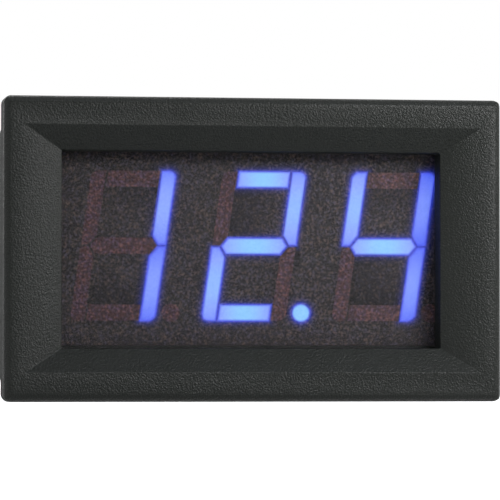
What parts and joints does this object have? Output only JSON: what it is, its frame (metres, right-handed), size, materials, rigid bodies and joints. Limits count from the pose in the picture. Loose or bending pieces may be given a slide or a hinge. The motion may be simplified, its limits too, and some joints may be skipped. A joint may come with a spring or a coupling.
{
  "type": "digital panel meter",
  "caption": "Snap-in rectangular panel meter with a sloped black bezel, leaning lit digits behind a smoked film, and an open back with its circuit board.",
  "frame": {"origin": "middle of the panel plane, where the back of the bezel meets the panel", "axes": "+X is width, to the right seen from the front; +Z is height; +Y is depth, from the face into the panel"},
  "size_m": [0.048, 0.022, 0.029],
  "materials": {
    "case_plastic": "fine moulded grain, satin",
    "smoked_film": "smoked matte film, fine speckle",
    "display_housing": "matte dark face",
    "lit_resin": "blue light through milky resin",
    "dark_resin": "unlit milky resin with a maroon tint",
    "light_chip": "light chip",
    "chip_board": "bare laminate",
    "potting": "cast resin",
    "tinned_pin": "tinned pin",
    "board_laminate": "green solder resist on glass laminate",
    "solder": "bright solder",
    "chip_moulding": "black moulded chip body",
    "tinned_leg": "tinned leg",
    "resistor_glaze": "dark glaze",
    "capacitor_ceramic": "tan ceramic",
    "black_base": "black base",
    "can_aluminium": "drawn can",
    "trimmer_housing": "blue moulded body",
    "trimmer_rotor": "white slotted rotor",
    "socket_nylon": "off-white nylon"
  },
  "bodies": {
    "meter": {"case": "case_plastic", "window_film": "smoked_film", "display_shell": "display_housing", "lit_bars": "lit_resin", "dark_bars": "dark_resin", "led_chips": "light_chip", "chip_board": "chip_board", "display_potting": "potting", "display_pins": "tinned_pin", "main_board": "board_laminate", "solder_joints": "solder", "controller": "chip_moulding", "controller_legs": "tinned_leg", "drivers": "chip_moulding", "driver_legs": "tinned_leg", "regulator": "chip_moulding", "regulator_legs": "tinned_leg", "protection_diode": "chip_moulding", "diode_straps": "tinned_leg", "resistors": "resistor_glaze", "ceramic_capacitors": "capacitor_ceramic", "tinned_ends": "tinned_leg", "capacitor_base": "black_base", "capacitor_can": "can_aluminium", "capacitor_tabs": "tinned_leg", "trimmer_body": "trimmer_housing", "trimmer_tabs": "tinned_leg", "wire_socket": "socket_nylon", "socket_contacts": "tinned_pin"},
    "rotor": {"trimmer_rotor": "trimmer_rotor"}
  },
  "joints": [
    {"name": "trimmer_turn", "type": "hinge", "parent": "meter", "child": "rotor", "pos_m": [0.0145, 0.014, 0.0046], "axis": [0, 1, 0], "range_deg": [-115, 115]}
  ]
}
